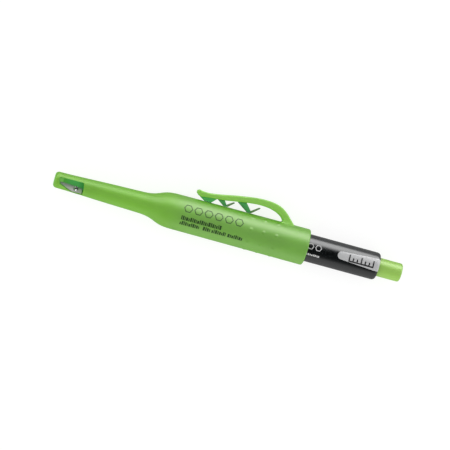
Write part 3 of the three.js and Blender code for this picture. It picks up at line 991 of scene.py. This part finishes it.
def build_spring():
    turns, wire_r, coil_r = 7.0, 0.27, 2.95
    end_gap = 0.28
    start, end = span("return_spring")
    first, last = start + end_gap, end - end_gap
    steps = int(turns * 40)
    axial = np.array([1.0, 0, 0])
    wire_angles = [2 * math.pi * k / 12 for k in range(12)]
    rings = []
    for i in range(steps + 1):
        t = i / steps
        # the coils lie closer together near both ends
        x = first + (last - first) * (t - math.sin(2 * math.pi * t) / (2 * math.pi) * 0.35)
        a = 2 * math.pi * turns * t
        radial = np.array([0, math.cos(a), math.sin(a)])
        centre = np.array([x, 0, 0]) + radial * coil_r
        rings.append(
            [centre + wire_r * (math.cos(q) * radial + math.sin(q) * axial) for q in wire_angles]
        )
    spring = loft("wound_return_spring", rings, SPRING_STEEL, sharp=50)
    finish_piece(spring, "pen", "return_spring")
    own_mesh(spring)


for piece in RING_PIECES:
    build_ring_piece(*piece)
build_chuck_sleeve()
build_spring()

# the three CAD jaws stay, in brass
for number in (1, 2, 3):
    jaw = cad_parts[f"chuck_jaw_{number}"]
    jaw.data.materials.clear()
    jaw.data.materials.append(BRASS)

# ------------------------------------------------------------------ holster
# (x from the holster's tip, outer radius)
HOLSTER_STATIONS = [
    (1.5, 3.83), (6.3, 3.9), (10.3, 4.03), (14.3, 4.17), (18.3, 4.33), (22.3, 4.49),
    (26.3, 4.63), (30.3, 4.75), (36.3, 4.92), (40.3, 5.05), (42.6, 5.14), (44.3, 5.3),
    (46.3, 5.66), (48.3, 6.28), (50.3, 7.08), (52.3, 7.75), (54.3, 8.13), (56.3, 8.3),
    (59.0, 8.35), (62.0, 8.364), (120.3, MOUTH_R),
]
HOLSTER_LENGTH = HOLSTER_END - HOLSTER_START
TIP_X, TIP_ROUND_R, TIP_OUTER_R = 1.7, 1.5, 3.835
TIP_RIM_R = 2.99
# (start, end, step) of the outer rows: closer at the tip, the shoulder and the nubs
HOLSTER_ROWS = [
    (1.6, 20.0, 0.45), (20.0, 41.0, 1.0), (41.0, 62.0, 0.45), (62.5, 92.8, 1.0),
    (93.0, 108.6, 0.19), (109.0, 120.3, 1.0),
]
# (x, radius) of the bore's taper below the shoulder
BORE_TAPER = [(50, 3.25), (54, 3.6), (58.5, 4.7), (62.3, 6.1), (66, 6.78)]
NUB_X = [HOLSTER_START + x for x in (93.8, 99.9, 106.1)]
NUB_PHI = [math.radians(9 + 45 * k) for k in range(8) if k != 2]  # none under the clip

# blade seat: a plane that falls towards +X
SEAT_SLOPE = 0.25
SCREW_X, SCREW_Y = 10.5, -1.75


def seat_z(x):
    return 1.5 - SEAT_SLOPE * (x - 5.3)


BLADE_PLACE = Matrix.Translation(
    Vector((HOLSTER_START + SCREW_X, SCREW_Y, seat_z(SCREW_X))) * MM
) @ Matrix.Rotation(math.atan(SEAT_SLOPE), 4, "Y")


def holster_radius(x):
    x = min(max(x - HOLSTER_START, 1.5), 120.3)
    return float(monotone_cubic(HOLSTER_STATIONS, [x])[0])


def window_tool():
    """Cuts the opening at the tip, down to the blade seat."""
    outline = fillet([
        (9.5, -6), (9.2, -4.05), (7.4, -3.3), (5.3, -2.5, 1.0), (2.5, -1.55, 0.5),
        (1.85, 0.1, 0.5), (2.0, 1.72, 0.6), (13.6, 1.72, 0.85), (14.05, -0.4), (14.3, -6),
    ])
    window = prism("window_tool", shift(HOLSTER_START, outline), -3, 7, INSERT_PLASTIC)
    side = [(-1, seat_z(-1) - 0.05), (14.9, seat_z(14.9) - 0.05), (14.9, 8), (-1, 8)]
    seat = prism("seat_tool", shift(HOLSTER_START, side), -9, 9, INSERT_PLASTIC)
    seat.data.transform(Matrix.Rotation(math.pi / 2, 4, "X"))
    return boolean(window, seat, "INTERSECT")


def slot_tool():
    """Cuts the deeper slot beside the blade."""
    outline = fillet([
        (8.0, -0.6), (4.2, -0.6, 0.3), (4.2, 1.6, 0.5), (13.2, 1.6, 0.7), (13.2, -0.6, 0.3),
        (8.01, -0.6),
    ], arc_steps=5)
    return prism("slot_tool", shift(HOLSTER_START, outline), -0.9, 7, INSERT_PLASTIC)


def cut_openings(ob):
    boolean(ob, window_tool(), sharp=38)
    boolean(ob, slot_tool(), sharp=38)


def build_holster():
    outside = []
    tip_start = math.asin((TIP_RIM_R - TIP_OUTER_R + TIP_ROUND_R) / TIP_ROUND_R)
    for a in np.linspace(tip_start, math.pi / 2, 12):
        radius = TIP_OUTER_R - TIP_ROUND_R + TIP_ROUND_R * math.sin(a)
        outside.append((TIP_X - TIP_X * math.cos(a), radius))
    for start, end, step in HOLSTER_ROWS:
        outside += [(x, holster_radius(HOLSTER_START + x)) for x in np.arange(start, end, step)]
    socket = [(14.4, 0.0), (14.4, 2.98), (7.0, 2.98), (outside[0][0] + 0.04, 2.975)]
    mouth = [
        (120.3, MOUTH_R), (HOLSTER_LENGTH, MOUTH_R, 1.35), (HOLSTER_LENGTH, 7.1, 0.2),
        (120.6, 6.86),
    ]
    bore = [(118.0, 6.85), (100, 6.83), (80, 6.81), (66, 6.78)]
    taper_x = np.linspace(64.5, 50, 18)
    bore += list(zip(taper_x, monotone_cubic(BORE_TAPER, taper_x)))
    bore += [(40, 3.2), (28, 3.15), (15.3, 3.05), (15.3, 0.0)]
    profile = socket + outside + fillet(mouth, arc_steps=9)[1:] + bore
    shell = revolve(
        "holster_shell", shift(HOLSTER_START, profile), HOLSTER_PLASTIC, segments=256, ring=False,
        bump=dots(NUB_X, NUB_PHI, dot_r=1.05, height=0.22, surface_r=8.5, power=1.7),
        bumped=range(len(socket), len(socket) + len(outside)), sharp=38,
    )
    cut_openings(shell)
    finish_piece(shell, "holster", "holster_body")


def build_insert():
    """Sharpener body in the tip: a rounded end at -X and a conical hole for the lead."""
    profile = [
        (14.1, 0.0), (14.1, 2.8), (14.0, 2.9), (0.16, 2.93), (0.1, 2.84), (0.06, 2.72),
        (0.02, 2.565), (0.0, 2.335), (0.0, 2.02), (0.06, 1.93), (0.7, 1.6), (5.3, 1.5),
        (10.3, 0.25), (11.4, 0.25), (11.4, 0.0),
    ]
    insert = revolve(
        "sharpener_insert", shift(HOLSTER_START, profile), INSERT_PLASTIC, segments=96, ring=False
    )
    cut_openings(insert)
    finish_piece(insert, "holster", "sharpener_body")


def build_blade():
    """Made flat about its screw hole, then laid on the seat."""
    outline = fillet([
        (-2.0, 1.15), (-7.7, 1.42, 0.12), (-7.85, 0.6, 0.15), (-5.2, -0.45, 0.5),
        (-2.9, -1.3, 0.5), (-1.6, -1.75, 0.3), (3.3, -1.75, 0.3), (3.3, 0.9, 0.25),
        (-1.99, 1.15),
    ], arc_steps=5)
    bevel = 0.5  # width of the ground bevel along the +Y edge
    lower = [(x, y, 0.05) for x, y in outline]
    upper = [(x, min(y, 1.06 - 0.0473 * x - bevel), 0.5) for x, y in outline]
    blade = loft("sharpener_blade_ground", [lower, upper], BLADE_STEEL, sharp=20)
    pin = [(-1, 0), (-1, 0.62), (2, 0.62), (2, 0)]
    hole = revolve("blade_hole", pin, BLADE_STEEL, segments=40, ring=False)
    hole.data.transform(Matrix.Rotation(-math.pi / 2, 4, "Y"))
    boolean(blade, hole, sharp=20)
    blade.data.transform(BLADE_PLACE)
    finish_piece(blade, "holster", "sharpener_blade")


def build_screw():
    profile = fillet([
        (-2.2, 0.0), (-2.2, 0.5, 0.1), (0.56, 0.5), (0.56, 1.12, 0.08), (1.02, 1.12, 0.1),
        (1.02, 0.93, 0.06), (0.76, 0.4, 0.3), (0.74, 0.0),
    ])
    screw = revolve("blade_screw_head", profile, SCREW_STEEL, segments=64, ring=False)
    screw.data.transform(Matrix.Rotation(-math.pi / 2, 4, "Y"))
    outline = [(-2, -0.15), (2, -0.15), (2, 0.15), (-2, 0.15)]
    slot = prism("screw_slot", outline, 0.68, 2, SCREW_STEEL)
    slot.data.transform(Matrix.Rotation(math.radians(35), 4, "Z"))
    boolean(screw, slot)
    screw.data.transform(BLADE_PLACE)
    finish_piece(screw, "holster", "blade_screw")


build_holster()
build_insert()
build_blade()
build_screw()

# ------------------------------------------------------------------ pocket clip
# side view, toe to root: outer (x, y), inner (x, y); x from CLIP_ORIGIN
CLIP_STATIONS = [
    ((-101.85, 12.7), (-101.85, 11.2)), ((-101.15, 13.0), (-101.0, 10.4)),
    ((-100.0, 12.76), (-99.7, 9.98)), ((-98.0, 12.6), (-98.2, 10.2)),
    ((-96.0, 12.65), (-96.0, 10.45)), ((-94.0, 12.9), (-93.8, 10.65)),
    ((-91.0, 13.35), (-90.8, 10.88)), ((-88.0, 13.95), (-87.5, 11.3)),
    ((-84.0, 14.75), (-83.4, 12.0)), ((-80.0, 15.4), (-79.2, 12.65)),
    ((-76.0, 16.05), (-75.2, 13.15)), ((-72.5, 16.38), (-71.9, 13.37)),
    ((-69.0, 16.42), (-69.2, 13.28)), ((-66.0, 16.18), (-66.8, 13.0)),
    ((-63.2, 15.55), (-64.6, 12.42)), ((-61.0, 14.6), (-62.7, 11.65)),
    ((-59.3, 13.4), (-61.2, 10.72)), ((-57.8, 12.1), (-60.25, 9.8)),
    ((-56.4, 10.72), (-59.93, 9.05)), ((-55.2, 9.5), (-60.25, 8.5)),
    ((-54.2, 8.5), (-61.0, 8.15)), ((-53.4, 7.7), (-61.9, 7.75)),
]
CLIP_HALF_WIDTH = 2.5
CLIP_CORNER_R = 0.62
TOE_ROUND = 0.5
TOE_REACH = 0.3
RIB_HALF_WIDTH = 1.75
# arc steps, side outline of (x, y) or (x, y, corner radius)
RIBS = [
    (5, [
        (-96.0, 11.3), (-100.2, 10.5), (-100.1, 9.92), (-97.6, 8.45, 0.3), (-94.6, 8.45, 0.3),
        (-92.2, 10.9), (-92.6, 11.4), (-95.99, 11.3),
    ]),
    (4, [
        (-90.6, 11.5), (-91.9, 11.2), (-91.6, 10.75), (-88.4, 8.495, 0.3), (-86.7, 8.495, 0.3),
        (-83.75, 11.05, 0.15), (-84.1, 11.45, 0.15), (-87.35, 9.25, 0.25), (-88.85, 11.5),
        (-90.59, 11.5),
    ]),
    (4, [
        (-80.8, 13.0), (-82.6, 12.6), (-82.3, 12.05), (-77.05, 8.55, 0.3), (-75.2, 8.55, 0.3),
        (-71.4, 11.75, 0.15), (-71.78, 12.15, 0.15), (-75.55, 9.4, 0.3), (-78.75, 13.1),
        (-80.79, 13.0),
    ]),
]


def catmull_rom(points, per_span):
    p = np.array(points, float)
    p = np.vstack([2 * p[0] - p[1], p, 2 * p[-1] - p[-2]])
    out = []
    for a, b, c, d in zip(p, p[1:], p[2:], p[3:]):
        for k in range(per_span):
            t = k / per_span
            square = (2 * a - 5 * b + 4 * c - d) * t * t
            cube = (-a + 3 * b - 3 * c + d) * t**3
            out.append(0.5 * ((2 * b) + (-a + c) * t + square + cube))
    out.append(p[-2])
    return np.array(out)


def rounded_rectangle(half_u, half_v, radius, steps=5):
    """Ring of (u, v) round the origin."""
    radius = min(radius, half_u * 0.98, half_v * 0.98)
    u, v = half_u - radius, half_v - radius
    ring = []
    for centre_u, centre_v, start in ((u, v, 0), (-u, v, 90), (-u, -v, 180), (u, -v, 270)):
        for k in range(steps + 1):
            a = math.radians(start + 90 * k / steps)
            ring.append((centre_u + radius * math.cos(a), centre_v + radius * math.sin(a)))
    return ring


def clip_sections():
    """(centre, direction across, half depth, half width) from the toe to the root."""
    outer = catmull_rom(shift(CLIP_ORIGIN, [a for a, b in CLIP_STATIONS]), 6)
    inner = catmull_rom(shift(CLIP_ORIGIN, [b for a, b in CLIP_STATIONS]), 6)
    sections = []
    for i, (a, b) in enumerate(zip(outer, inner)):
        half_depth = np.linalg.norm((a - b) / 2)
        t = i / (len(outer) - 1)
        # slightly narrower at the toe, flared at the root
        half_width = CLIP_HALF_WIDTH * (0.93 + 0.07 * min(1.0, t * 3))
        half_width += 0.35 * max(0.0, t - 0.86) / 0.14
        sections.append(((a + b) / 2, (a - b) / 2 / half_depth, half_depth, half_width))
    # rounded toe
    centre, across, half_depth, half_width = sections[0]
    toe = []
    for k in range(5):
        a = math.pi / 2 * (k / 5)
        shrink = TOE_ROUND * (1 - math.sin(a))
        place = centre + np.array([-1.0, 0.05]) * (TOE_REACH * math.cos(a))
        toe.append((place, across, max(0.12, half_depth - shrink), half_width - shrink))
    return toe + sections


def build_clip():
    rings = []
    for (x, y), across, half_depth, half_width in clip_sections():
        ring = rounded_rectangle(half_width, half_depth, CLIP_CORNER_R)
        rings.append([(x + across[0] * v, y + across[1] * v, u) for u, v in ring])
    arm = loft("clip_arm", rings, CLIP_PLASTIC, sharp=50)
    for i, (arc_steps, points) in enumerate(RIBS):
        outline = shift(CLIP_ORIGIN, fillet(points, arc_steps))
        rib = prism(
            f"clip_rib_{i + 1}", outline, -RIB_HALF_WIDTH, RIB_HALF_WIDTH, RIB_SHADED_PLASTICS[i],
            bevel=0.12,
        )
        finish_piece(rib, "clip", None)
    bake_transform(arm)
    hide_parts("pocket_clip")


def build_holster_marks():
    start = HOLSTER_START + 60.9
    bars = bar_groups(start, (19.5,), s0=-2.75, s1=-0.75, pattern=0, wide=1.15)
    bars += bar_groups(start, (10.4, 3.5, 6.9, 7.2), s0=-5.35, s1=-3.35, pattern=4, wide=1.15)
    print_patches(
        "holster_dashes", bars, holster_radius, "holster", INK_DARK, "green_plastic"
    )
    row = hexagons(start + 2.3, 3.05, pitch=4.9, count=6, radius=1.9)
    print_outlines(
        "holster_sections", row, 0.42, holster_radius, "holster", INK_GREY, "green_plastic"
    )


build_clip()
build_holster_marks()

# ------------------------------------------------------------------ stage
FLOOR_Z_M = -(MOUTH_R + 0.06) * MM
FLOOR_HALF_M = 2.2


def build_floor():
    """A pale floor that shines, brighter to diffuse rays and dimmer to glossy ones."""
    n = Material("floor_pale")
    diffuse = n.new("BsdfDiffuse", {"Color": (0.93, 0.93, 0.93)})
    glossy_part = n.math("MULTIPLY", n.light_path("Is Glossy Ray"), -0.9)
    diffuse_part = n.math("MULTIPLY", n.light_path("Is Diffuse Ray"), 0.62)
    strength = n.math("ADD", n.math("ADD", glossy_part, diffuse_part), 1.1)
    shine = n.new("Emission", {"Color": (1, 1, 1), "Strength": strength})
    both = n.new("MixShader", {0: 0.74, 1: diffuse.outputs[0], 2: shine.outputs[0]})
    n.put(n.output.inputs[0], both.outputs[0])
    corners = [(-1, -1), (1, -1), (1, 1), (-1, 1)]
    vertices = [(x * FLOOR_HALF_M, y * FLOOR_HALF_M, FLOOR_Z_M) for x, y in corners]
    mesh = bpy.data.meshes.new("floor")
    mesh.from_pydata(vertices, [], [(0, 1, 2, 3)])
    mesh.materials.append(n.material)
    floor = bpy.data.objects.new("floor", mesh)
    bpy.context.scene.collection.objects.link(floor)


# white tent as glossy rays see it: (degrees from +Z towards +Y, brightness)
TENT = [
    (-180, 0.109), (-130, 0.125), (-105, 0.25), (-80, 0.391), (-62, 0.312), (-52, 0.109),
    (-44, 0.025), (-20, 0.00937), (18, 0.00937), (30, 0.0625), (38, 0.5), (47, 2), (55, 2.87),
    (76, 3), (86, 2.69), (95, 1.94), (108, 1.06), (130, 0.562), (180, 0.109),
]
TENT_SCALE = 4.0  # keeps the ramp's colours below 1


def build_world():
    world = bpy.data.worlds.new("studio")
    bpy.context.scene.world = world
    world.use_nodes = True
    n = Graph(world.node_tree, "OutputWorld")
    x, y, z = n.split(n.coordinates["Generated"])
    turn = n.math("MULTIPLY_ADD", n.math("ARCTAN2", y, z), 1 / (2 * math.pi), 0.5)
    stops = [(degrees / 360 + 0.5, (value / TENT_SCALE,) * 3) for degrees, value in TENT]
    glossy = n.math("MULTIPLY", n.ramp(turn, stops, interpolation="EASE"), TENT_SCALE)
    # towards the pen's two ends the tent is even
    ends = n.map_range(n.math("ABSOLUTE", x), low=0.72, high=0.95)
    glossy = n.mix_value(ends, glossy, 0.85)
    # other rays: a little brighter towards +Y, dimmer from above and where the tent is bright
    sideways = n.math("MULTIPLY_ADD", y, 0.16, 1.1)
    above = n.math("MULTIPLY", n.math("MAXIMUM", z, 0.0), -0.14)
    dip = n.map_range(glossy, low=0.5, high=3.0, to_low=1.05, to_high=0.25, kind="LINEAR")
    soft = n.math("MULTIPLY", n.math("ADD", sideways, above), dip)
    level = n.mix_value(n.light_path("Is Glossy Ray"), soft, glossy)
    level = n.mix_value(n.light_path("Is Camera Ray"), level, 0.985)
    background = n.new("Background", {0: (1, 1, 1), 1: level})
    n.put(n.output.inputs[0], background.outputs[0])
    # these settings exist only where the Cycles engine is loaded
    if hasattr(world, "cycles"):
        world.cycles.sampling_method = "NONE"


def build_camera():
    """Looks down at the pen, which is turned in the picture and seen a little from -X."""
    target = Vector(((HOLSTER_START + 82.4) * MM, 0.0001, 0.0))
    roll, yaw = math.radians(15.14), math.radians(6.5)
    view_width_m = 0.2102
    data = bpy.data.cameras.new("camera")
    data.sensor_width = 36
    data.lens = 200
    data.clip_start, data.clip_end = 0.05, 10
    camera = bpy.data.objects.new("camera", data)
    bpy.context.scene.collection.objects.link(camera)
    back = Vector((-math.sin(yaw), 0, math.cos(yaw)))
    level = Vector((math.cos(roll), math.sin(roll), 0))
    right = (level - back * level.dot(back)).normalized()
    up = back.cross(right)
    place = target + back * (view_width_m * data.lens / data.sensor_width)
    rows = [(right[i], up[i], back[i], place[i]) for i in range(3)]
    camera.matrix_world = Matrix((*rows, (0, 0, 0, 1)))
    bpy.context.scene.camera = camera


build_floor()
build_world()
build_camera()
bpy.context.scene.view_settings.view_transform = "Standard"
bpy.context.scene.view_settings.look = "None"
